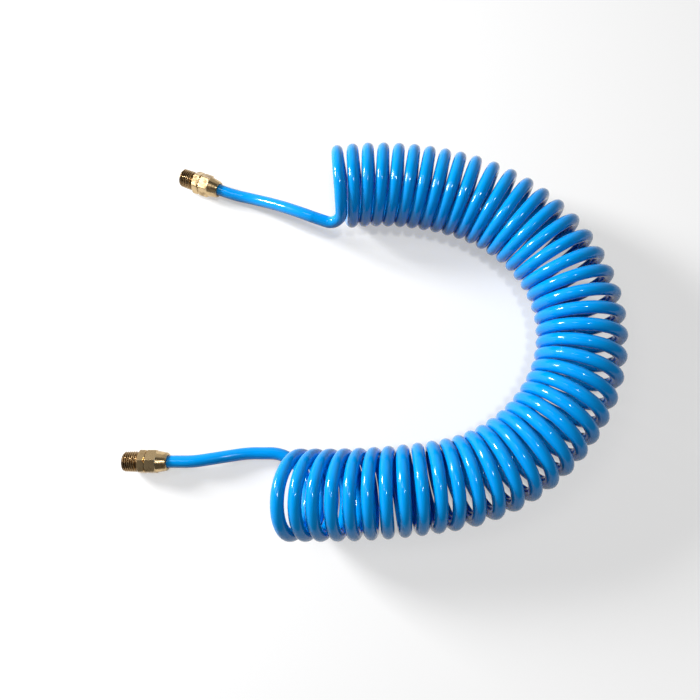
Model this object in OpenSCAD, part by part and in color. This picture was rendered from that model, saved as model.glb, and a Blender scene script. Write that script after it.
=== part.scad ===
// Coiled air hose: a blue polyurethane hose wound into a coil that lies in a U on a table, with a straight
// tail at each end and a brass fitting on each tail. Each fitting has a threaded stud with a hexagon, which
// swivels, an O-ring, a retaining ring, a barbed body that holds the hose, a split grip sleeve and a clamp
// nut.
// Millimetres, +Z up. The origin is at the middle of the footprint, on the table.

/* [Hose] */
// Outside diameter of the hose
hose_od = 8; // [7:0.5:9]
// Bore of the hose
hose_bore = 5; // [4.5:0.25:5.5]

/* [Coil] */
// Outside diameter of the coil
coil_od = 55; // [48:1:62]
// Gap between turns along the inside of the bend
bend_gap = 0.2; // [0.1:0.1:3]
// Gap between turns in the lower leg
leg_gap = 1; // [1:0.25:4]
// Sideways lean of the last turn at its top, as a slope
end_lean = 0.4; // [0:0.05:0.4]
// Bend radius of the elbow between the coil and the upper tail
upper_elbow_r = 9; // [8:0.5:9]
// Bend radius of the curve between the coil and the lower tail
lower_elbow_r = 25; // [18:1:30]

/* [Thread] */
// Outside diameter of the tapered pipe thread
thread_od = 13.16; // [12:0.02:14]
// Length of the threaded end
thread_len = 10.4; // [8:0.2:13]
// Pitch of the thread
thread_pitch = 1.337; // [1:0.001:1.6]
// Depth of the thread
thread_depth = 0.85; // [0.5:0.05:1]
// Size across flats of the stud's hexagon and of the nut's
hex_af = 14; // [13.5:0.5:17]
// Thickness of the stud's hexagon
flange_len = 4.5; // [3:0.5:6]
// Width of the chamfer on the corners of both hexagons
hex_chamfer = 0.8; // [0.3:0.1:1.1]

/* [Swivel] */
// Diameter of the stud's shank, which turns in the body
shank_d = 9.2; // [9:0.1:9.6]
// Length of the shank
shank_len = 4.2; // [4:0.1:5]
// Bore through the stud
stud_bore = 5; // [3.5:0.25:5.5]
// Radial running gap between the shank and the body
running_gap = 0.05; // [0.02:0.01:0.1]
// Thickness of the O-ring
o_ring_section = 1.2; // [1:0.05:1.3]
// Thickness and width of the retaining ring
ring_section = 0.9; // [0.7:0.05:1.1]
// Gap in the retaining ring
ring_split = 2; // [1:0.25:3]

/* [Body and nut] */
// Thickness of the wall between the shank's socket and the spigot
web_len = 1; // [0.8:0.1:2]
// Diameter of the body's thread for the nut
body_thread_d = 12; // [11.8:0.1:12.2]
// Length of the nut's hexagon
nut_hex_len = 6.8; // [6:0.2:9]
// Length of the nut's tapered collar
nut_collar_len = 6.6; // [6:0.2:10]
// Diameter of the collar beside the hexagon
collar_front_d = 13.8; // [13:0.1:13.9]
// Diameter of the collar at its end
collar_rear_d = 11.4; // [11:0.1:12.5]
// Travel of the nut along the hose when it is screwed off
nut_travel = 5; // [3:0.5:6]
// Gap between parts that move past each other
clear_gap = 0.3; // [0.2:0.05:0.4]

/* [Barb and sleeve] */
// Diameter of the barb's spigot
spigot_d = 4.6; // [4:0.1:4.8]
// Diameter over the barbs
barb_d = 5.5; // [5.2:0.1:5.8]
// Bore through the spigot
spigot_bore = 3.2; // [2.4:0.1:3.4]
// Length of the spigot
spigot_len = 10; // [8:0.5:14]
// Wall of the grip sleeve at its thin end
sleeve_wall = 0.6; // [0.5:0.05:0.8]
// Length of the grip sleeve
sleeve_len = 5; // [4:0.25:5.5]
// Width of the slot in the grip sleeve
sleeve_slot = 1; // [0.6:0.1:1.6]

/* [Hidden] */

hose_colour = "deepskyblue";
brass_colour = [0.72, 0.58, 0.36];
steel_colour = [0.72, 0.72, 0.7];
rubber_colour = [0.08, 0.08, 0.08];
fine = 64;

// ---------------------------------------------------------------- coil
// The coil's axis is a chain of arcs, seen from above. Each row holds the turns wound on that arc, the angle
// that the arc turns clockwise, and the gap between its turns on the inside of the bend.
axis_arcs = [
    [9.25, 26, bend_gap],
    [5.25, 28, bend_gap],
    [10.5, 74, bend_gap],
    [9.5, 52, bend_gap],
    [7.75, 9, leg_gap],
    [2.75, 0, leg_gap],
];
start_turn = 1 / 16;    // the coil starts just above its inner side
end_turn = 44.75;       // and ends under itself, on the table
lean_turns = 10;        // number of turns at the lower end that lean over
rings_per_turn = 8;
hose_sides = 6;
tail_sides = 12;
hose_r = hose_od / 2;
coil_r = coil_od / 2 - hose_r;          // from the coil's axis to the middle of the hose
flat_depth = hose_od / 10;              // depth of the flat under each turn, where the coil lies on the table
axis_z = coil_r + hose_r - flat_depth;  // height of the coil's axis

function sum(list, count) = count == 0 ? 0 : list[count - 1] + sum(list, count - 1);
function arc_at(turn, i = 0) =
    i == len(axis_arcs) - 1 || turn < sum([for (a = axis_arcs) a[0]], i + 1)
        ? axis_arcs[i] : arc_at(turn, i + 1);
// Length of axis per turn: on the inside of the bend the turns lie one hose and one gap apart.
function pitch_at(turn) = let (a = arc_at(turn)) hose_od + a[2] + coil_r * a[1] * PI / 180 / a[0];
function sweep_at(turn) = let (a = arc_at(turn)) a[1] / a[0];
// Heading of the axis at its upper end, anticlockwise from +X, so that its lower leg points in -X.
start_heading = sum([for (a = axis_arcs) a[1]], len(axis_arcs)) - 180 - start_turn * sweep_at(0);

// The axis in steps of one ring, each row [x, y, heading, turn], from start_turn to end_turn.
// The first step is half as long as the others, so that a ring lies at the bottom of each turn.
step = 1 / rings_per_turn;
function next_turn(turn) = turn < step ? step : turn + step;
function advance(p, to) =
    let (
        mid = (p[3] + to) / 2,
        run = pitch_at(mid) * (to - p[3]),
        bend = sweep_at(mid) * (to - p[3]),
        way = p[2] - bend / 2
    )
    [p[0] + run * cos(way), p[1] + run * sin(way), p[2] - bend, to];
axis_line = [
    for (
        p = [0, 0, start_heading, start_turn];
        p[3] <= end_turn + step / 4;
        p = advance(p, next_turn(p[3]))
    ) p
];

function left_of(heading) = [-sin(heading), cos(heading), 0];
function ahead_of(heading) = [cos(heading), sin(heading), 0];
function lean_at(turn) = end_lean * max(0, turn - end_turn + lean_turns) / lean_turns;
// A point on the coil at radius r: from the inner side it climbs over the top to the outer side, and then
// goes under. Turns that lean are slid along the axis in step with their height.
function coil_point(p, r) =
    let (angle = 360 * p[3], rise = r * sin(angle))
    [p[0], p[1], axis_z] - r * cos(angle) * left_of(p[2]) + [0, 0, rise] + lean_at(p[3]) * rise * ahead_of(p[2]);
helix = [for (p = axis_line) coil_point(p, coil_r)];
helix_out = [for (i = [0:len(axis_line) - 1]) unit(coil_point(axis_line[i], coil_od) - helix[i])];

function unit(v) = v / norm(v);
function last(list) = list[len(list) - 1];

// Upper elbow: an arc from the tail's direction to the direction in which the coil starts to climb.
upper_heading = -20;   // heading from the upper fitting to the coil
elbow_steps = 4;
coil_start_way = unit(helix[1] - helix[0]);
tail_way = ahead_of(upper_heading);
elbow_side = unit(tail_way - (tail_way * coil_start_way) * coil_start_way);
elbow_angle = acos(tail_way * coil_start_way);
upper_elbow = [
    for (i = [elbow_steps:-1:1])
        let (a = elbow_angle * i / elbow_steps)
        helix[0] - upper_elbow_r * ((1 - cos(a)) * elbow_side + sin(a) * coil_start_way)
];
upper_face = upper_elbow[0] - hose_od * tail_way;

// Lower elbow: a flat curve on the table, from under the coil to the direction of the lower tail, that lifts
// the hose off the flat under the coil.
coil_end_heading = last(axis_line)[2] - 90;
lift = flat_depth + 0.2;
lower_elbow = [
    for (i = [1:elbow_steps])
        let (a = 90 * i / elbow_steps)
        last(helix)
            + lower_elbow_r * (sin(a) * ahead_of(coil_end_heading) + (1 - cos(a)) * left_of(coil_end_heading))
            + [0, 0, lift * i / elbow_steps]
];
lower_way = left_of(coil_end_heading);
lower_face = last(lower_elbow) + hose_od * lower_way;

// The whole wound tube: straight for one diameter, elbow, helix, elbow, straight for one diameter.
coil_line = concat([upper_face], upper_elbow, helix, lower_elbow, [lower_face]);
up = [0, 0, 1];
// The side of the tube that faces away from the coil's axis, which is one corner of its section.
coil_out = concat(
    [for (i = [0:elbow_steps]) helix_out[0]],
    helix_out,
    [for (i = [0:elbow_steps]) last(helix_out)]
);

function way_at(line, i) =
    i == 0 ? unit(line[1] - line[0])
    : i == len(line) - 1 ? unit(line[i] - line[i - 1])
    : unit(unit(line[i + 1] - line[i]) + unit(line[i] - line[i - 1]));
// One ring of a tube's points at radius r round line[i], with its first corner towards out.
function ring(line, i, out, sides, r = hose_r) =
    let (
        way = way_at(line, i),
        a = unit(out - (out * way) * way),
        b = cross(way, a)
    )
    [for (k = [0:sides - 1]) line[i] + r * (cos(360 * k / sides) * a + sin(360 * k / sides) * b)];

coil_rings = [for (i = [0:len(coil_line) - 1]) ring(coil_line, i, coil_out[i], hose_sides)];

module tube(rings, sides) {
    count = len(rings);
    points = [for (r = rings) each r];
    walls = [
        for (i = [0:count - 2], k = [0:sides - 1])
            let (j = (k + 1) % sides, low = i * sides, high = low + sides)
            each [[low + k, high + k, low + j], [low + j, high + k, high + j]]
    ];
    first_end = [for (k = [1:sides - 2]) [0, k, k + 1]];
    base = (count - 1) * sides;
    last_end = [for (k = [1:sides - 2]) [base, base + k + 1, base + k]];
    polyhedron(points, concat(walls, first_end, last_end));
}

// Least distance between the corners of one turn and those of the next.
function least_gap(rings, from, to) = min([
    for (i = [from:to - rings_per_turn], j = [i + rings_per_turn - 1:i + rings_per_turn + 1])
        if (j <= to) for (a = rings[i], b = rings[j]) norm(a - b)
]);
helix_first = elbow_steps + 1;
helix_last = helix_first + len(helix) - 1;

// ---------------------------------------------------------------- tails
// Each tail's route from the coil to its fitting: distance along the tail, distance to its left seen from
// the coil, and rise.
upper_route = [
    [0, 0, 0], [3, 0, 0], [10, -0.6, -1.1], [20, -1.9, -4.3], [28, -3, -7.5], [36, -4, -11], [43, -4.6, -13.9],
    [50, -4.9, -16.2], [56, -4.8, -17.5], [62, -4.4, -18.1], [68.5, -4.1, -18.1],
];
lower_route = [
    [0, 0, 0], [3, 0, 0], [9, 0.4, 0.4], [16, 1.4, 1.3], [24, 2.7, 2.5], [32, 4, 3.5], [39, 5, 4],
    [45, 5.4, 4.1],
    [49.5, 5.4, 4.1],
];
function route_line(start, way, route) =
    [for (r = route) start + r[0] * way + r[1] * cross(up, way) + [0, 0, r[2]]];
upper_line = route_line(upper_face, -tail_way, upper_route);
lower_line = route_line(lower_face, lower_way, lower_route);

// ---------------------------------------------------------------- fitting, along its own axis
// Distances run from the tip of the thread towards the hose.
flange_end = thread_len + flange_len;
shank_end = flange_end + shank_len;
body_at = flange_end + clear_gap;
socket_end = shank_end + clear_gap;
body_thread_end = socket_end + web_len;
hose_end = body_thread_end + 0.6;
spigot_end = body_thread_end + spigot_len;
nut_at = body_at;
nut_hex_end = nut_at + nut_hex_len;
nut_end = nut_hex_end + nut_collar_len;
sleeve_at = hose_end + 0.6;
sleeve_end = sleeve_at + sleeve_len;
fitting_end = nut_end + nut_travel + 3;     // the hose is straight up to here
stretch = 0.05;         // room between the barbs and the hose that they stretch
shank_r = shank_d / 2;
body_thread_r = body_thread_d / 2;
hex_r = hex_af / sqrt(3);
o_ring_at = flange_end + 1.35;
ring_at = flange_end + 2.95;
groove_room = 0.1;
upper_roll = 43;        // how far the fittings lie turned from a corner up, clockwise seen from the thread
lower_roll = -7;

// The fittings lie level with the ends of the tails, and the drawing is centred over its footprint.
function fitting_tip(line, way) = last(line) + fitting_end * way;
upper_tip = fitting_tip(upper_line, -tail_way);
lower_tip = fitting_tip(lower_line, lower_way);
coil_corners = [for (r = coil_rings) each r];
x_low = lower_tip[0];
x_high = max([for (c = coil_corners) c[0]]);
y_low = min([for (c = coil_corners) c[1]]);
y_high = max([for (c = coil_corners) c[1]]);
centre = [(x_low + x_high) / 2, (y_low + y_high) / 2, 0];

module on_table() {
    translate(-centre) children();
}

module at_upper() {
    on_table() translate(upper_tip) rotate([0, 0, upper_heading]) rotate([0, 90, 0])
        rotate([0, 0, upper_roll]) children();
}

module at_lower() {
    on_table() translate(lower_tip) rotate([0, 0, coil_end_heading - 90]) rotate([0, 90, 0])
        rotate([0, 0, lower_roll]) children();
}

// ---------------------------------------------------------------- hose
module hose_coil() {
    echo(least_gap_between_turns = least_gap(coil_rings, helix_first, helix_last));
    echo(hose_length = line_length(coil_line) + line_length(upper_line) + line_length(lower_line)
        + 2 * (fitting_end - hose_end));
    echo(upper_tip = upper_tip - centre, lower_tip = lower_tip - centre);
    color(hose_colour) on_table() difference() {
        tube(coil_rings, hose_sides);
        translate([0, 0, -coil_od]) cube([4 * coil_od * 4, 4 * coil_od * 4, 2 * coil_od], center = true);
    }
}

function line_length(line) = sum([for (i = [1:len(line) - 1]) norm(line[i] - line[i - 1])], len(line) - 1);

// The end of a tail inside its fitting, stretched over the barbs.
module hose_end_piece() {
    bore_end = spigot_end + 1;
    difference() {
        translate([0, 0, hose_end]) cylinder(d = hose_od, h = fitting_end - hose_end + 1, $fn = fine);
        translate([0, 0, hose_end - 1])
            cylinder(d = barb_d + 2 * stretch, h = bore_end - hose_end + 1, $fn = fine);
    }
}

// The bent part of a tail, a hair thinner than the straight end that it runs into.
module tail(line) {
    tube([for (i = [0:len(line) - 1]) ring(line, i, up, tail_sides, hose_r - 0.03)], tail_sides);
}

module upper_tail() {
    color(hose_colour) {
        on_table() tail(upper_line);
        at_upper() hose_end_piece();
    }
}

module lower_tail() {
    color(hose_colour) {
        on_table() tail(lower_line);
        at_lower() hose_end_piece();
    }
}

// ---------------------------------------------------------------- fitting pieces
// A hexagonal prism from z = at, with its corners turned off at both ends.
module hexagon(at, length) {
    corner_r = hex_r;
    face_r = hex_r - hex_chamfer;
    rise = hex_chamfer * tan(30);
    intersection() {
        translate([0, 0, at]) cylinder(r = hex_r, h = length, $fn = 6);
        rotate_extrude($fn = fine) polygon([
            [0, at], [face_r, at], [corner_r, at + rise],
            [corner_r, at + length - rise], [face_r, at + length], [0, at + length],
        ]);
    }
}

// Threaded stud: pipe thread with flat crests, the hexagon that a spanner holds, and the shank with its two
// grooves.
module stud() {
    crest_r = thread_od / 2;
    root_r = crest_r - thread_depth;
    turns = floor((thread_len - 0.9) / thread_pitch);
    thread = [
        for (i = [0:turns - 1])
            let (z = 0.3 + i * thread_pitch)
            each [
                [root_r, z], [crest_r, z + 0.42 * thread_pitch],
                [crest_r, z + 0.58 * thread_pitch], [root_r, z + thread_pitch],
            ]
    ];
    o_root = shank_r - o_ring_section - groove_room / 2;
    o_half = o_ring_section / 2 + groove_room;
    ring_root = shank_r - ring_section + groove_room;
    ring_half = ring_section / 2 + groove_room;
    difference() {
        union() {
            hexagon(thread_len, flange_len);
            rotate_extrude($fn = fine) polygon(concat(
                [[0, 0], [root_r - 0.3, 0]],
                thread,
                [
                    [root_r, thread_len + 1], [shank_r, thread_len + 1],
                    [shank_r, o_ring_at - o_half], [o_root, o_ring_at - o_half],
                    [o_root, o_ring_at + o_half], [shank_r, o_ring_at + o_half],
                    [shank_r, ring_at - ring_half], [ring_root, ring_at - ring_half],
                    [ring_root, ring_at + ring_half], [shank_r, ring_at + ring_half],
                    [shank_r, shank_end - 0.3], [shank_r - 0.3, shank_end], [0, shank_end],
                ]
            ));
        }
        translate([0, 0, -1]) cylinder(d = stud_bore, h = shank_end + 2, $fn = fine);
    }
}

module o_ring() {
    middle = shank_r - o_ring_section / 2;
    translate([0, 0, o_ring_at]) rotate_extrude($fn = fine)
        translate([middle, 0]) circle(d = o_ring_section - groove_room / 2, $fn = 24);
}

// Retaining ring: a split ring, half in the shank's groove and half in the body's.
ring_inner = shank_r - ring_section / 2 - 0.05;
ring_outer = ring_inner + ring_section;
module retaining_ring() {
    translate([0, 0, ring_at - ring_section / 2]) difference() {
        cylinder(r = ring_outer, h = ring_section, $fn = fine);
        translate([0, 0, -1]) cylinder(r = ring_inner, h = ring_section + 2, $fn = fine);
        translate([0, -ring_split / 2, -1]) cube([2 * ring_outer, ring_split, ring_section + 2]);
    }
}

// Barbed body: socket for the shank, thread for the nut, and the spigot with two barbs.
module barbed_body() {
    groove_half = ring_section / 2 + groove_room;
    barb_r = barb_d / 2;
    spigot_r = spigot_d / 2;
    rib = spigot_len / 5;
    difference() {
        rotate_extrude($fn = fine) polygon([
            [0, body_at], [body_thread_r - 0.3, body_at], [body_thread_r, body_at + 0.3],
            [body_thread_r, body_thread_end - 0.5], [body_thread_r - 0.5, body_thread_end],
            [spigot_r, body_thread_end],
            [spigot_r, spigot_end - 3 * rib], [barb_r, spigot_end - 3 * rib],
            [spigot_r, spigot_end - 2 * rib], [spigot_r, spigot_end - 1.5 * rib],
            [barb_r, spigot_end - 1.5 * rib], [spigot_r - 0.2, spigot_end], [0, spigot_end],
        ]);
        translate([0, 0, body_at - 1])
            cylinder(r = shank_r + running_gap, h = socket_end - body_at + 1, $fn = fine);
        translate([0, 0, ring_at - groove_half])
            cylinder(r = ring_outer + groove_room, h = 2 * groove_half, $fn = fine);
        translate([0, 0, body_at]) cylinder(d = spigot_bore, h = spigot_end, $fn = fine);
    }
}

// The sleeve's outside and the nut's inside share one taper.
taper_front_r = hose_r + sleeve_wall + 1;
taper_rear_r = hose_r + sleeve_wall;
module grip_sleeve() {
    difference() {
        translate([0, 0, sleeve_at])
            cylinder(r1 = taper_front_r, r2 = taper_rear_r, h = sleeve_len, $fn = fine);
        translate([0, 0, sleeve_at - 1]) cylinder(r = hose_r + running_gap, h = sleeve_len + 2, $fn = fine);
        translate([0, -sleeve_slot / 2, sleeve_at - 1]) cube([2 * taper_front_r, sleeve_slot, sleeve_len + 2]);
    }
}

// Clamp nut: hexagon, bore over the body's thread, taper over the sleeve, hole for the hose, tapered collar.
module clamp_nut() {
    shell_gap = 0.1;
    difference() {
        union() {
            hexagon(nut_at, nut_hex_len);
            translate([0, 0, nut_hex_end - 0.5])
                cylinder(d1 = collar_front_d + 0.1, d2 = collar_front_d, h = 0.5, $fn = fine);
            translate([0, 0, nut_hex_end])
                cylinder(d1 = collar_front_d, d2 = collar_rear_d, h = nut_collar_len, $fn = fine);
        }
        translate([0, 0, nut_at - 1])
            cylinder(r = body_thread_r + running_gap, h = body_thread_end + 0.3 - nut_at + 1, $fn = fine);
        translate([0, 0, body_thread_end])
            cylinder(r = taper_front_r + shell_gap + 0.05, h = sleeve_at - body_thread_end, $fn = fine);
        translate([0, 0, sleeve_at - 0.01])
            cylinder(
                r1 = taper_front_r + shell_gap, r2 = taper_rear_r + shell_gap, h = sleeve_len + 0.01, $fn = fine
            );
        translate([0, 0, sleeve_at]) cylinder(r = hose_r + clear_gap, h = nut_end, $fn = fine);
    }
}

module upper_stud() { color(brass_colour) at_upper() stud(); }
module upper_o_ring() { color(rubber_colour) at_upper() o_ring(); }
module upper_retaining_ring() { color(steel_colour) at_upper() retaining_ring(); }
module upper_body() { color(brass_colour) at_upper() barbed_body(); }
module upper_grip_sleeve() { color(brass_colour) at_upper() grip_sleeve(); }
module upper_nut() { color(brass_colour) at_upper() clamp_nut(); }
module lower_stud() { color(brass_colour) at_lower() stud(); }
module lower_o_ring() { color(rubber_colour) at_lower() o_ring(); }
module lower_retaining_ring() { color(steel_colour) at_lower() retaining_ring(); }
module lower_body() { color(brass_colour) at_lower() barbed_body(); }
module lower_grip_sleeve() { color(brass_colour) at_lower() grip_sleeve(); }
module lower_nut() { color(brass_colour) at_lower() clamp_nut(); }

hose_coil();
upper_tail();
lower_tail();
upper_stud();
upper_o_ring();
upper_retaining_ring();
upper_body();
upper_grip_sleeve();
upper_nut();
lower_stud();
lower_o_ring();
lower_retaining_ring();
lower_body();
lower_grip_sleeve();
lower_nut();
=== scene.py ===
import math

import bpy
import numpy as np
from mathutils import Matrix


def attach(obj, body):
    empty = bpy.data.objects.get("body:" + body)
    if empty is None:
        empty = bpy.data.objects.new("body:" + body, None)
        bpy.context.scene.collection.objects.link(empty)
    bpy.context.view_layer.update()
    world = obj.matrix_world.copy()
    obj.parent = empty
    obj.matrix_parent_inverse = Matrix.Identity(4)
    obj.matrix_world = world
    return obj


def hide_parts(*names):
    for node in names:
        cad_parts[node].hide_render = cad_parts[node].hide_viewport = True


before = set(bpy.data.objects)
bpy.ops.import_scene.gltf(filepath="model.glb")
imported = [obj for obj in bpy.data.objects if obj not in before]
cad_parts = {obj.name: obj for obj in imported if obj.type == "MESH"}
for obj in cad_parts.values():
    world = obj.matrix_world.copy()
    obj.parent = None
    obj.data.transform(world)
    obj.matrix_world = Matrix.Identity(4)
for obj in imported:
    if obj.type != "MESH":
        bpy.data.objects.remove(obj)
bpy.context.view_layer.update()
scene = bpy.context.scene

# ---- Camera
# It looks down on the table at a steep angle, close over the U. Half the width of view and the focal
# length are in pixels of the render.
look_down, half_width, focal_length = 78.35, 350, 555.6
camera = bpy.data.objects.new("camera", bpy.data.cameras.new("camera"))
camera.location = (-0.01476, -0.08446, 0.37600)
camera.rotation_euler = (math.radians(90 - look_down), 0, 0)
camera.data.angle = 2 * math.atan(half_width / focal_length)
camera.data.clip_start = 0.01
scene.collection.objects.link(camera)
scene.camera = camera

# ---- Hose
# One length of 8 x 5 mm polyurethane hose. It is wound hot round a mandrel, left-handed, and keeps that
# shape when it cools, so it springs back to it. Both ends are pushed over a barb and clamped.
hose_r = 0.004
coil_r = 0.0235
coil_axis_height = 0.0275
# Along the coil: turns wound, degrees that the axis swings clockwise, gap between turns on the inside.
wound = np.array([
    [9.25, 26, 0.0002],
    [5.25, 28, 0.0002],
    [10.5, 74, 0.0002],
    [9.5, 52, 0.0002],
    [7.75, 9, 0.001],
    [2.75, 0, 0.001],
])
turn_1_at = (-0.0150857, 0.101074)
first_turn, last_turn, rings_per_turn = 1 / 16, 44.75, 48
leaning_turns, lean = 10, 0.4
sky = np.array([0.0, 0.0, 1.0])


def unit(v):
    """Each row divided by its length."""
    return v / np.linalg.norm(v, axis=-1, keepdims=True)


def coil_axis(turn):
    """Points and heading along the coil's axis. A turn moves it on by the hose's diameter + the gap + coil
    radius x the turn's swing, and turns it clockwise by that swing. The last heading is west, and turn 1
    has its place."""
    middle = (turn[1:] + turn[:-1]) / 2
    row = np.clip(np.searchsorted(np.cumsum(wound[:, 0]), middle, side="right"), 0, len(wound) - 1)
    swing = np.radians(wound[row, 1]) / wound[row, 0]
    pitch = 2 * hose_r + wound[row, 2] + coil_r * swing
    step = np.diff(turn)
    heading = np.concatenate([[0], -np.cumsum(swing * step)])
    heading += -math.pi - heading[-1]
    way = heading[:-1] - swing * step / 2
    x = np.concatenate([[0], np.cumsum(pitch * step * np.cos(way))])
    y = np.concatenate([[0], np.cumsum(pitch * step * np.sin(way))])
    first = np.argmin(np.abs(turn - 1))
    return np.stack([x - x[first] + turn_1_at[0], y - y[first] + turn_1_at[1]], axis=1), heading


def coil(turn):
    """Helix round that axis: across the axis by -r cos a and up by r sin a, a = 2 pi turn. The last turns
    lean: their height is added along the axis, times a slope that grows from 0 to the lean."""
    axis, heading = coil_axis(turn)
    a = 2 * np.pi * turn
    left = np.stack([-np.sin(heading), np.cos(heading), np.zeros_like(heading)], axis=1)
    ahead = np.stack([np.cos(heading), np.sin(heading), np.zeros_like(heading)], axis=1)
    slope = lean * np.clip((turn - last_turn + leaning_turns) / leaning_turns, 0, None)
    centre = np.column_stack([axis, np.full(len(turn), coil_axis_height)])
    out = -np.cos(a)[:, None] * left + np.sin(a)[:, None] * (sky + slope[:, None] * ahead)
    return centre + coil_r * out, unit(out)


def through(points, per_leg):
    """A smooth line through points. On each leg a cubic, whose slope at a point is half the step between
    the neighbours of that point."""
    slope = np.gradient(points, axis=0)
    s = np.linspace(0, 1, per_leg, endpoint=False)[None, :, None]
    p, q, u, v = points[:-1, None], points[1:, None], slope[:-1, None], slope[1:, None]
    line = (
        (2 * s**3 - 3 * s**2 + 1) * p + (s**3 - 2 * s**2 + s) * u
        + (3 * s**2 - 2 * s**3) * q + (s**3 - s**2) * v
    )
    return np.concatenate([line.reshape(-1, 3), points[-1:]])


def elbow(start, start_way, end, end_way, reach, steps):
    """A bend as a cubic whose two handles lie at reach along the straight ways in and out."""
    s = np.linspace(0, 1, steps)[1:-1, None]
    a, b = start + reach * start_way, end - reach * end_way
    return (1 - s)**3 * start + 3 * s * (1 - s)**2 * a + 3 * s**2 * (1 - s) * b + s**3 * end


turn = np.linspace(first_turn, last_turn, round((last_turn - first_turn) * rings_per_turn) + 1)
wound_line, wound_out = coil(turn)

# Each tail's route from the coil to its fitting, in mm: distance along it, distance to its left, and rise.
ends = ("upper", "lower")
upper_way_off_west = math.radians(20)
tail_way = {
    "upper": np.array([-math.cos(upper_way_off_west), math.sin(upper_way_off_west), 0]),
    "lower": np.array([-1.0, 0, 0]),
}
tail_start = {
    "upper": np.array([-0.0381927, 0.0788005, 0.0263841]),
    "lower": np.array([-0.0751674, -0.0771617, 0.0042]),
}
tail_route = {
    "upper": 0.001 * np.array([
        [-8, 0, 0], [0, 0, 0], [3, 0, 0], [10, -0.6, -1.1], [20, -1.9, -4.3], [28, -3, -7.5], [36, -4, -11],
        [43, -4.6, -13.9], [50, -4.9, -16.2], [56, -4.8, -17.5], [62, -4.4, -18.1], [68.5, -4.1, -18.1],
    ]),
    "lower": 0.001 * np.array([
        [-8, 0, 0], [0, 0, 0], [3, 0, 0], [9, 0.4, 0.4], [16, 1.4, 1.3], [24, 2.7, 2.5], [32, 4, 3.5],
        [39, 5, 4], [45, 5.4, 4.1], [49.5, 5.4, 4.1],
    ]),
}
# Along a fitting, from the tip of its thread: where the hose ends, a place past the nut, and how far the
# hose is straight.
hose_end, past_nut, straight_end = 0.021, 0.030, 0.0366
tails, tip = {}, {}
for end in ends:
    way, route = tail_way[end], tail_route[end]
    points = tail_start[end] + route @ np.array([way, np.cross(sky, way), sky])
    tip[end] = points[-1] + straight_end * way
    clamped = tip[end] - np.array([[past_nut], [hose_end]]) * way
    tails[end] = through(np.concatenate([points, clamped]), per_leg=4)
upper_tail, lower_tail = tails["upper"][::-1], tails["lower"]

into_coil = unit(wound_line[1] - wound_line[0])
upper_bend = elbow(upper_tail[-1], -tail_way["upper"], wound_line[0], into_coil, reach=0.0058, steps=16)
out_of_coil = unit((wound_line[-1] - wound_line[-2]) * (1, 1, 0))
lower_bend = elbow(wound_line[-1], out_of_coil, lower_tail[0], tail_way["lower"], reach=0.0138, steps=20)
hose_line = np.concatenate([upper_tail, upper_bend, wound_line, lower_bend, lower_tail])
hose_out = np.concatenate([
    np.repeat(wound_out[:1], len(upper_tail) + len(upper_bend), axis=0), wound_out,
    np.repeat(wound_out[-1:], len(lower_bend) + len(lower_tail), axis=0),
])


def wrapped(name, rings, closed, ring_at, side_at):
    """A skin over rings of points, each ring joined to the next. Closed, the last ring joins the first;
    open, both ends get a flat cap. Its UV map holds the place round a ring and along the rings. It is
    turned right way out by the sign of the volume inside."""
    count, sides = rings.shape[:2]
    index = np.arange(count * sides).reshape(count, sides)
    rows, columns = np.mgrid[0:count if closed else count - 1, 0:sides]
    rows = np.stack([rows, rows, rows + 1, rows + 1], axis=-1).reshape(-1, 4)
    columns = np.stack([columns, columns + 1, columns + 1, columns], axis=-1).reshape(-1, 4)
    quads = index[rows % count, columns % sides]
    points = rings.reshape(-1, 3)
    p, q, r, s = (points[quads[:, i]] - points[0] for i in range(4))
    inward = np.einsum("ij,ij->", p, np.cross(q, r)) + np.einsum("ij,ij->", p, np.cross(r, s)) < 0
    order = slice(None, None, -1 if inward else 1)
    caps = [] if closed else [index[0][::-1][order].tolist(), index[-1][order].tolist()]
    mesh = bpy.data.meshes.new(name)
    mesh.from_pydata(points, [], quads[:, order].tolist() + caps)
    places = np.stack([side_at[columns], ring_at[rows]], axis=-1)[:, order].reshape(-1, 2)
    on_caps = np.zeros((sum(len(c) for c in caps), 2))
    uv_map = mesh.uv_layers.new(name="skin")
    uv_map.data.foreach_set("uv", np.concatenate([places, on_caps]).ravel())
    mesh.shade_smooth()
    mesh.set_sharp_from_angle(angle=math.radians(50))
    piece = bpy.data.objects.new(name, mesh)
    scene.collection.objects.link(piece)
    return piece


def tube(line, out, sides):
    """Directions round a line: at each point a cos f + b sin f, with a the outward direction made square
    to the line, and b square to both."""
    way = unit(np.gradient(line, axis=0))
    a = unit(out - np.sum(out * way, axis=1, keepdims=True) * way)
    b = np.cross(way, a)
    f = np.linspace(0, 2 * np.pi, sides, endpoint=False)
    return a[:, None] * np.cos(f)[None, :, None] + b[:, None] * np.sin(f)[None, :, None]


# At each end the skin turns in over the wall and runs back along the bore, which the barb has opened.
hose_sides, bore_rings, opened_bore = 24, 6, 0.0028
last = len(hose_line) - 1
inwards = np.append(np.arange(bore_rings, -1, -1), 0)
order = np.concatenate([inwards, np.arange(1, last), last - inwards[::-1]])
radius = np.full(len(order), hose_r)
radius[:bore_rings + 1] = opened_bore
radius[-bore_rings - 1:] = opened_bore
run = np.append(0, np.cumsum(np.linalg.norm(np.diff(hose_line, axis=0), axis=1)))
rings = hose_line[order][:, None] + radius[:, None, None] * tube(hose_line, hose_out, hose_sides)[order]
hose = wrapped("hose", rings, False, run[order], np.linspace(0, 1, hose_sides + 1))


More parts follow.
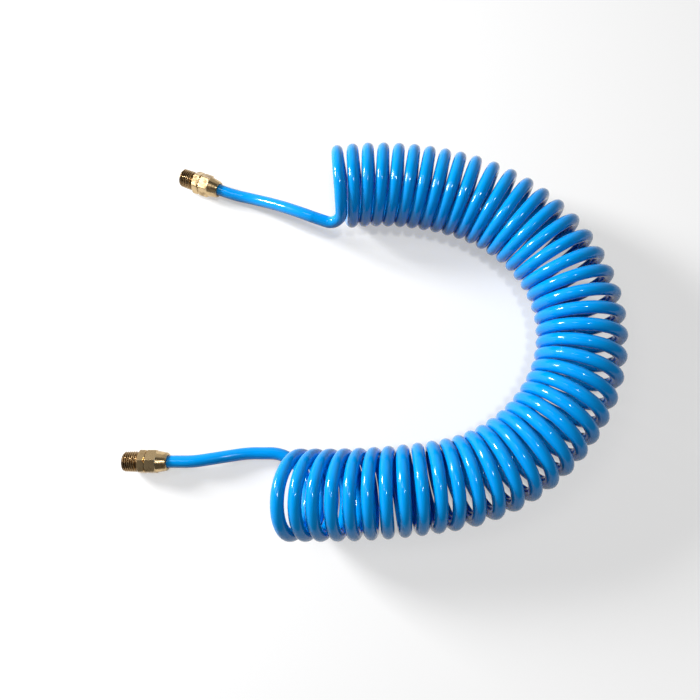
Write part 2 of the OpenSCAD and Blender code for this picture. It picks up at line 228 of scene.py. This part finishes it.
def new_group(name, inputs, outputs):
    """An empty node group with named sockets. Returns the group and its two end nodes."""
    group = bpy.data.node_groups.new(name, "ShaderNodeTree")
    for socket, kind, value in inputs:
        made = group.interface.new_socket(name=socket, in_out="INPUT", socket_type="NodeSocket" + kind)
        made.default_value = value
    for socket, kind in outputs:
        group.interface.new_socket(name=socket, in_out="OUTPUT", socket_type="NodeSocket" + kind)
    return group, group.nodes.new("NodeGroupInput"), group.nodes.new("NodeGroupOutput")


def node(tree, kind, links=None, **settings):
    """A node with its settings. Each link is a socket's name or number, and a value or the socket that
    feeds it."""
    made = tree.nodes.new("ShaderNode" + kind)
    for setting, value in settings.items():
        setattr(made, setting, value)
    for socket, source in (links or {}).items():
        if isinstance(source, bpy.types.NodeSocket):
            tree.links.new(source, made.inputs[socket])
        else:
            made.inputs[socket].default_value = source
    return made


def maths(tree, operation, *values, **settings):
    """The output of a Math node on two or three values."""
    return node(tree, "Math", dict(enumerate(values)), operation=operation, **settings).outputs["Value"]


def mixed(tree, kind, factor, a, b):
    """The output of a Mix node of colours or of numbers."""
    return node(tree, "Mix", {"Factor": factor, "A": a, "B": b}, data_type=kind).outputs["Result"]


def soft_step(tree, value, low, high):
    """0 up to low, 1 from high on, and a smooth step between."""
    step = {"Value": value, "From Min": low, "From Max": high}
    return node(tree, "MapRange", step, interpolation_type="SMOOTHSTEP").outputs["Result"]


# Dust and finger marks, which any smooth surface here gathers: a mask of soft patches, and the roughness
# that they add.
handled, given, made = new_group(
    "handled", [("Patch Size", "Float", 0.02), ("Smooth", "Float", 0.1), ("Smeared", "Float", 0.2)],
    [("Mask", "Float"), ("Roughness", "Float")])
where = node(handled, "TexCoord").outputs["Object"]
density = maths(handled, "DIVIDE", 1.0, given.outputs["Patch Size"])
patches = node(handled, "TexNoise", {"Vector": where, "Scale": density, "Detail": 4.0, "Roughness": 0.6})
mask = soft_step(handled, patches.outputs["Fac"], 0.42, 0.68)
rough = mixed(handled, "FLOAT", mask, given.outputs["Smooth"], given.outputs["Smeared"])
handled.links.new(mask, made.inputs["Mask"])
handled.links.new(rough, made.inputs["Roughness"])

# The die leaves faint lines along the hose, and the wall shows a little more or less colour on its way.
# Both patterns have their scale per turn round the hose and per metre along it.
hose_skin = bpy.data.materials.new("hose_polyurethane")
hose_skin.use_nodes = True
tree = hose_skin.node_tree
skin = tree.nodes["Principled BSDF"]
place = node(tree, "UVMap", uv_map="skin").outputs["UV"]
drawn_out = node(tree, "Mapping", {"Vector": place, "Scale": (40, 3, 1)}).outputs["Vector"]
die_lines = node(tree, "TexNoise", {"Vector": drawn_out, "Scale": 1.0, "Detail": 3.0}).outputs["Fac"]
in_lengths = node(tree, "Mapping", {"Vector": place, "Scale": (2, 25, 1)}).outputs["Vector"]
tint = node(tree, "TexNoise", {"Vector": in_lengths, "Scale": 1.0, "Detail": 2.0}).outputs["Fac"]
colour = mixed(tree, "RGBA", tint, (0.0, 0.27, 0.76, 1), (0.0, 0.325, 0.82, 1))
marks = node(tree, "Group", node_tree=handled)
marks.inputs["Patch Size"].default_value = 0.012
marks.inputs["Smooth"].default_value = 0.08
marks.inputs["Smeared"].default_value = 0.16
bump = node(tree, "Bump", {"Height": die_lines, "Strength": 0.25, "Distance": 0.00004})
tree.links.new(colour, skin.inputs["Base Color"])
tree.links.new(marks.outputs["Roughness"], skin.inputs["Roughness"])
tree.links.new(bump.outputs["Normal"], skin.inputs["Normal"])
skin.inputs["Specular IOR Level"].default_value = 0.28
hose.data.materials.append(hose_skin)

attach(hose, "hose")
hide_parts("hose_coil", "upper_tail", "lower_tail")

# ---- Studs
# One in each fitting, turned and threaded from hexagonal brass bar: tapered pipe thread, the hexagon that
# a spanner holds, and a shank with two grooves that turns in the body.
thread_start, thread_end, flange_start, flange_end, shank_end = 0.0003, 0.0097, 0.0104, 0.0149, 0.0191
pipe_crest, pipe_depth, pipe_pitch, pipe_taper = 0.00658, 0.00085, 0.001337, 1 / 32
across_flats, corner, chamfer_start = 0.014, 0.0005, 0.0069
nose_r, shank_r, stud_bore_r = 0.0053, 0.0046, 0.0025
bore_chamfer, shank_chamfer = 0.0006, 0.0003
# Where each groove starts and ends, and the radius of its bottom.
o_ring_groove = (0.01555, 0.01695, 0.00335)
snap_groove = (0.0173, 0.0184, 0.0038)
roll = {"upper": math.radians(43), "lower": math.radians(-7)}
steps_per_side, steps_per_pitch = 18, 18
side = np.linspace(-1, 1, steps_per_side, endpoint=False)
turned = np.radians(60 * np.arange(6)[:, None] + 30 + 30 * np.sin(side * math.pi / 2)).ravel()


def hexagon(angle):
    """Radius of a hexagon with a corner up: half its size across flats / cos(angle from the middle of the
    nearest flat), and near a corner that of the arc that rounds it."""
    half = across_flats / 2
    off = np.abs(angle % math.radians(60) - math.radians(30))
    past = math.radians(30) - off
    middle = (half - corner) / math.cos(math.radians(30))
    arc = middle * np.cos(past) + np.sqrt(np.maximum(corner**2 - (middle * np.sin(past))**2, 0))
    rounded = math.radians(30) - math.atan((half - corner) * math.tan(math.radians(30)) / half)
    return np.where(past < rounded, arc, half / np.cos(off))


def bar(start, finish):
    """The outline of a hexagonal bar between two places, with its corners turned off at 30 degrees: four
    points, the outer two at the hexagon's radius, drawn in by tan 30 x how far that is past the chamfer."""
    r = hexagon(turned)
    draw_in = math.tan(math.radians(30)) * (r - chamfer_start)
    return [(start, chamfer_start), (start + draw_in, r), (finish - draw_in, r), (finish, chamfer_start)]


def groove(start, finish, bottom, surface):
    """The outline of a groove with square walls, from the surface down and up again: four points."""
    return [(start, surface), (start, bottom), (finish, bottom), (finish, surface)]


def outline(points):
    """Points of place along the axis and radius, each a number or one number for each angle, as an array
    of angles x points x 2."""
    flat = [np.broadcast_to(v, turned.shape) for point in points for v in point]
    return np.stack(flat, axis=-1).reshape(len(turned), -1, 2)


def eased(points, edge):
    """An outline with its corners eased. A corner P becomes (1-s)^2 A + 2s(1-s) P + s^2 B, where A and B lie
    on its two sides at the given distance, or at 0.36 of a side where that is less. One more point on each
    side, 1.3 times as far out, keeps the flats flat. The first and last point stay."""
    before, after = points[:, :-2] - points[:, 1:-1], points[:, 2:] - points[:, 1:-1]
    long_before = np.linalg.norm(before, axis=-1, keepdims=True)
    long_after = np.linalg.norm(after, axis=-1, keepdims=True)
    a = before * np.minimum(edge / long_before, 0.36)
    b = after * np.minimum(edge / long_after, 0.36)
    s = np.linspace(0, 1, 4)[None, None, :, None]
    curve = (1 - s)**2 * a[:, :, None] + s**2 * b[:, :, None]
    curve = np.concatenate([1.3 * a[:, :, None], curve, 1.3 * b[:, :, None]], axis=2) + points[:, 1:-1, None]
    return np.concatenate([points[:, :1], curve.reshape(len(points), -1, 2), points[:, -1:]], axis=1)


def thread(start, finish, crest, depth, pitch, taper):
    """The outline of a right-handed thread: at the crest less the depth, plus the depth x how far
    a / pitch - angle / turn is into a ridge. Ridges have straight sides, are flat over 0.12 of the pitch on
    top and at the root, and run out before the end. A taper draws both in towards the start."""
    a = np.linspace(start, finish, round((finish - start) / pitch * steps_per_pitch))
    phase = (a[None, :] / pitch - turned[:, None] / (2 * math.pi)) % 1
    ridge = np.clip((np.abs(2 * phase - 1) - 0.12) / 0.76, 0, 1) * np.clip((finish - a) / pitch, 0, 1)
    r = crest - depth * (1 - ridge) - taper * (finish - a)
    return np.stack([np.broadcast_to(a, r.shape), r], axis=-1)


def lathed(name, end, points, threaded):
    """A closed outline of place and radius carried round a fitting's axis: tip + place x way + radius x
    (up cos angle + across sin angle), with the fitting's roll added to the angle. The first rows are
    threaded. A point attribute, the square root of how far down between the crests a point lies, paints
    the thread's roots dark: partly tarnish, partly painted shade."""
    way, angle = -tail_way[end], (turned + roll[end])[:, None]
    round_it = np.cos(angle) * sky + np.sin(angle) * np.cross(way, sky)
    rings = tip[end] + points[..., :1] * way + points[..., 1:] * round_it[:, None]
    length = np.linalg.norm(np.diff(points, axis=1, append=points[:, :1]), axis=-1).mean(axis=0)
    along_it, round_at = np.append(0, np.cumsum(length)), np.append(turned, turned[0] + 2 * math.pi)
    piece = wrapped(name, rings, True, round_at, along_it)
    # Painted shade, with some real tarnish: the deeper a point lies in a thread, the darker it is painted.
    hollow_tarnish_and_shade = np.zeros(points.shape[:2])
    if threaded:
        r = points[:, :threaded, 1]
        hollow_tarnish_and_shade[:, :threaded] = np.sqrt((r.max() - r) / (r.max() - r.min()))
    piece.data.attributes.new("hollow_tarnish_and_shade", "FLOAT", "POINT").data.foreach_set("value", hollow_tarnish_and_shade.ravel())
    return piece


# Turned metal: fine rings from the tool, tarnish in patches, and the roots of a thread painted dark, partly
# tarnish and partly painted shade. The first UV coordinate is the place along the outline, so it gives the
# rings. A point's shade attribute is 1 at the bottom of a thread.
turned_metal, given, made = new_group(
    "turned_metal",
    [("Bright", "Color", (1, 1, 1, 1)), ("Tarnish_and_Shade", "Color", (1, 1, 1, 1)), ("Rings", "Float", 1.0)],
    [("Color", "Color"), ("Roughness", "Float"), ("Normal", "Vector")])
place = node(turned_metal, "UVMap", uv_map="skin").outputs["UV"]
along = node(turned_metal, "SeparateXYZ", {"Vector": place}).outputs["X"]
rings_in = node(turned_metal, "CombineXYZ", {"X": along}).outputs["Vector"]
turning = node(turned_metal, "TexNoise", {"Vector": rings_in, "Scale": 9000.0, "Detail": 2.0})
tool_marks = turning.outputs["Fac"]
wear = node(turned_metal, "Group", node_tree=handled)
wear.inputs["Patch Size"].default_value = 0.004
wear.inputs["Smooth"].default_value = 0.16
wear.inputs["Smeared"].default_value = 0.34
# Painted shade, with some real tarnish: the roots of a thread go towards the dark colour.
hollow_tarnish_and_shade = node(turned_metal, "Attribute", attribute_name="hollow_tarnish_and_shade").outputs["Fac"]
tarnish_and_shade_mask = maths(turned_metal, "MULTIPLY", wear.outputs["Mask"], 0.55)
tarnish_and_shade_mask = maths(turned_metal, "MAXIMUM", tarnish_and_shade_mask, hollow_tarnish_and_shade)
colour = mixed(turned_metal, "RGBA", tarnish_and_shade_mask, given.outputs["Bright"], given.outputs["Tarnish_and_Shade"])
rough = maths(turned_metal, "MULTIPLY_ADD", tool_marks, 0.12, wear.outputs["Roughness"])
depth = maths(turned_metal, "MULTIPLY", tool_marks, given.outputs["Rings"])
bump = node(turned_metal, "Bump", {"Height": depth, "Strength": 0.5, "Distance": 0.00001})
turned_metal.links.new(colour, made.inputs["Color"])
turned_metal.links.new(rough, made.inputs["Roughness"])
turned_metal.links.new(bump.outputs["Normal"], made.inputs["Normal"])


def metal(name, bright, tarnish_and_shade, rings):
    """A material of turned metal in two colours, bright and a dark one for tarnish and for the painted shade
    in thread roots, with rings so deep.
    """
    material = bpy.data.materials.new(name)
    material.use_nodes = True
    tree = material.node_tree
    surface = tree.nodes["Principled BSDF"]
    surface.inputs["Metallic"].default_value = 1
    finish = node(tree, "Group", node_tree=turned_metal)
    finish.inputs["Bright"].default_value = bright
    finish.inputs["Tarnish_and_Shade"].default_value = tarnish_and_shade
    finish.inputs["Rings"].default_value = rings
    for socket, target in (("Color", "Base Color"), ("Roughness", "Roughness"), ("Normal", "Normal")):
        tree.links.new(finish.outputs[socket], surface.inputs[target])
    return material


# Its dark colour is tarnish in patches and also the painted shade in the thread's roots.
brass = metal("brass", bright=(0.62, 0.45, 0.24, 1), tarnish_and_shade=(0.12, 0.058, 0.02, 1), rings=1.0)

stud_thread = thread(thread_start, thread_end, pipe_crest, pipe_depth, pipe_pitch, pipe_taper)
stud_thread[..., 1] = np.minimum(stud_thread[..., 1], nose_r + stud_thread[..., 0])
root_r = pipe_crest - pipe_depth
stud_rest = outline(
    [(thread_end + 0.0003, root_r), (flange_start, root_r)] + bar(flange_start, flange_end)
    + [(flange_end, shank_r)] + groove(*o_ring_groove, shank_r) + groove(*snap_groove, shank_r) + [
        (shank_end - shank_chamfer, shank_r), (shank_end, shank_r - shank_chamfer), (shank_end, stud_bore_r),
        (bore_chamfer, stud_bore_r), (0, stud_bore_r + bore_chamfer), (0, nose_r), (0.0002, nose_r + 0.0001),
    ])
stud_outline = np.concatenate([stud_thread, eased(stud_rest, edge=0.00012)], axis=1)
studs = {}
for end in ends:
    stud = studs[end] = lathed(end + "_stud_turned", end, stud_outline, stud_thread.shape[1])
    stud.data.materials.append(brass)
    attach(stud, end + "_stud")
    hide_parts(end + "_stud")

# ---- Bodies
# The brass core of each fitting: a socket that the shank turns in, a fine thread for the nut, and a spigot
# with two barbs that the hose is pushed over.
body_start, socket_end, body_thread_end, body_step, spigot_end = 0.0152, 0.0194, 0.0200, 0.0204, 0.0304
body_r, neck_r, spigot_r, body_bore_r, socket_r = 0.006, 0.0055, 0.0023, 0.0016, 0.00465
nut_thread_depth, nut_thread_pitch = 0.00045, 0.001
first_barb, first_barb_foot, second_barb, barb_r = 0.0244, 0.0264, 0.0274, 0.00275
# The groove in the socket lies over the shank's when the retaining ring is in.
socket_groove = (snap_groove[1], snap_groove[0], 0.00515)
body_thread = thread(body_start + 0.0002, body_thread_end, body_r, nut_thread_depth, nut_thread_pitch, 0)
body_thread[..., 1] = np.minimum(body_thread[..., 1], nose_r + body_thread[..., 0] - body_start)
body_rest = outline([
    (body_thread_end + 0.0001, body_r - nut_thread_depth), (body_step, neck_r), (body_step, spigot_r),
    (first_barb, spigot_r), (first_barb, barb_r), (first_barb_foot, spigot_r),
    (second_barb, spigot_r), (second_barb, barb_r), (spigot_end, spigot_r - 0.0002),
    (spigot_end, body_bore_r), (socket_end, body_bore_r), (socket_end, socket_r),
] + groove(*socket_groove, socket_r) + [
    (body_start, socket_r), (body_start, nose_r + 0.0001), (body_start + 0.0001, nose_r + 0.0001),
])
body_outline = np.concatenate([body_thread, eased(body_rest, edge=0.0001)], axis=1)
bodies = {}
for end in ends:
    body = bodies[end] = lathed(end + "_body_turned", end, body_outline, body_thread.shape[1])
    body.data.materials.append(brass)
    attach(body, "hose")
    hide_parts(end + "_body")

# ---- Nuts
# Each is turned from the same bar: a hexagon over the body's thread, and a tapered collar that presses the
# grip sleeve onto the hose.
nut_start, hexagon_end, nut_end = 0.0152, 0.0220, 0.0286
collar_end_r, collar_chamfer, hose_hole_r = 0.0057, 0.0006, 0.0043
nut_thread_end, nut_thread_r, mouth_r = 0.0207, 0.00605, 0.0064
cone_start, cone_end, cone_start_r, cone_end_r = 0.0216, 0.0266, 0.0057, 0.0047
# The last point falls on the first, which eases the corner between them, and is then left off.
nut_outline = outline(bar(nut_start, hexagon_end) + [
    (nut_end - collar_chamfer, collar_end_r + 0.00011), (nut_end, collar_end_r - 0.0004),
    (nut_end, hose_hole_r), (cone_end, hose_hole_r), (cone_end, cone_end_r), (cone_start, cone_start_r),
    (nut_thread_end, cone_start_r + 0.00005), (nut_thread_end, nut_thread_r),
    (nut_start + 0.0004, nut_thread_r), (nut_start, mouth_r), (nut_start, chamfer_start),
])
nuts = {}
for end in ends:
    nut = nuts[end] = lathed(end + "_nut_turned", end, eased(nut_outline, edge=0.00015)[:, :-1], 0)
    nut.data.materials.append(brass)
    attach(nut, end + "_nut")
    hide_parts(end + "_nut")

# ---- Grip sleeves, retaining rings and O-rings
# They stay hidden in the fittings: a split brass sleeve round the hose, a split ring of spring steel that
# keeps the shank in the body, and the rubber ring that seals it.
steel = metal("spring_steel", bright=(0.56, 0.55, 0.53, 1), tarnish_and_shade=(0.33, 0.31, 0.29, 1), rings=0.3)
rubber = bpy.data.materials.new("black_rubber")
rubber.use_nodes = True
tree = rubber.node_tree
surface = tree.nodes["Principled BSDF"]
bloom = node(tree, "Group", node_tree=handled)
bloom.inputs["Patch Size"].default_value = 0.002
bloom.inputs["Smooth"].default_value = 0.45
bloom.inputs["Smeared"].default_value = 0.7
colour = mixed(tree, "RGBA", bloom.outputs["Mask"], (0.012, 0.012, 0.012, 1), (0.05, 0.05, 0.048, 1))
tree.links.new(colour, surface.inputs["Base Color"])
tree.links.new(bloom.outputs["Roughness"], surface.inputs["Roughness"])
for end in ends:
    for piece, finish in (("grip_sleeve", brass), ("retaining_ring", steel), ("o_ring", rubber)):
        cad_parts[end + "_" + piece].material_slots[0].material = finish


# ---- Table and light
# A pale table top and a room, both with one brightness for the rays that see them and another for the
# light that they give to the hose. Three soft square lamps make the highlights.
def seeing_ray(tree):
    """1 for the rays that see the background: the camera's, and those that a surface mirrors or lets
    through."""
    ray = node(tree, "LightPath").outputs
    seen = maths(tree, "ADD", ray["Is Camera Ray"], ray["Is Glossy Ray"])
    return maths(tree, "ADD", seen, ray["Is Transmission Ray"], use_clamp=True)


table = bpy.data.objects.new("table", bpy.data.meshes.new("table"))
table.data.from_pydata([(-3, -3, 0), (3, -3, 0), (3, 3, 0), (-3, 3, 0)], [], [(0, 1, 2, 3)])
scene.collection.objects.link(table)
table_top = bpy.data.materials.new("table_top")
table_top.use_nodes = True
tree = table_top.node_tree
seen = seeing_ray(tree)
paint = mixed(tree, "RGBA", seen, (0.08, 0.08, 0.08, 1), (0.55, 0.55, 0.55, 1))
glow = mixed(tree, "RGBA", seen, (0, 0, 0, 1), (0.45, 0.45, 0.45, 1))
top = tree.nodes["Principled BSDF"]
tree.links.new(paint, top.inputs["Base Color"])
tree.links.new(glow, top.inputs["Emission Color"])
top.inputs["Emission Strength"].default_value = 1.0
top.inputs["Roughness"].default_value = 0.8
top.inputs["Specular IOR Level"].default_value = 0.0
table.data.materials.append(table_top)


def lamp(name, at, size, power):
    """A soft square lamp that points at the middle of the table."""
    light = bpy.data.lights.new(name, "AREA")
    light.size, light.energy = size, power
    stand = bpy.data.objects.new(name, light)
    stand.location = at
    back = unit(np.array(at))
    stand.rotation_euler = (math.acos(back[2]), 0, math.atan2(back[1], back[0]) + math.pi / 2)
    scene.collection.objects.link(stand)


lamp("window", at=(-1.02, 0.43, 0.46), size=0.30, power=23)
lamp("ceiling_lamp", at=(0.08, -0.08, 1.29), size=0.12, power=4.8)
lamp("panel", at=(-0.63, 0.22, 1.2), size=0.36, power=1.9)

# The room: grey walls, dark towards the south-east and lighter towards the north-west, and an almost black
# ceiling. It gives off a dim even light.
world = bpy.data.worlds.new("room")
world.use_nodes = True
tree = world.node_tree
towards = node(tree, "TexCoord").outputs["Generated"]
height = node(tree, "SeparateXYZ", {"Vector": towards}).outputs["Z"]
north_west = node(tree, "VectorMath", {0: towards, 1: (-0.6, 0.8, 0)}, operation="DOT_PRODUCT")
lit_side = soft_step(tree, north_west.outputs["Value"], -0.8, 0.4)
overhead = soft_step(tree, height, 0.55, 0.85)
walls = mixed(tree, "RGBA", lit_side, (0.1, 0.1, 0.1, 1), (0.6, 0.6, 0.6, 1))
room = mixed(tree, "RGBA", overhead, walls, (0.05, 0.05, 0.05, 1))
light_or_room = mixed(tree, "RGBA", seeing_ray(tree), (0.08, 0.08, 0.08, 1), room)
sky_light = tree.nodes["Background"]
tree.links.new(light_or_room, sky_light.inputs["Color"])
sky_light.inputs["Strength"].default_value = 1.0
scene.world = world
scene.view_settings.view_transform = "Standard"
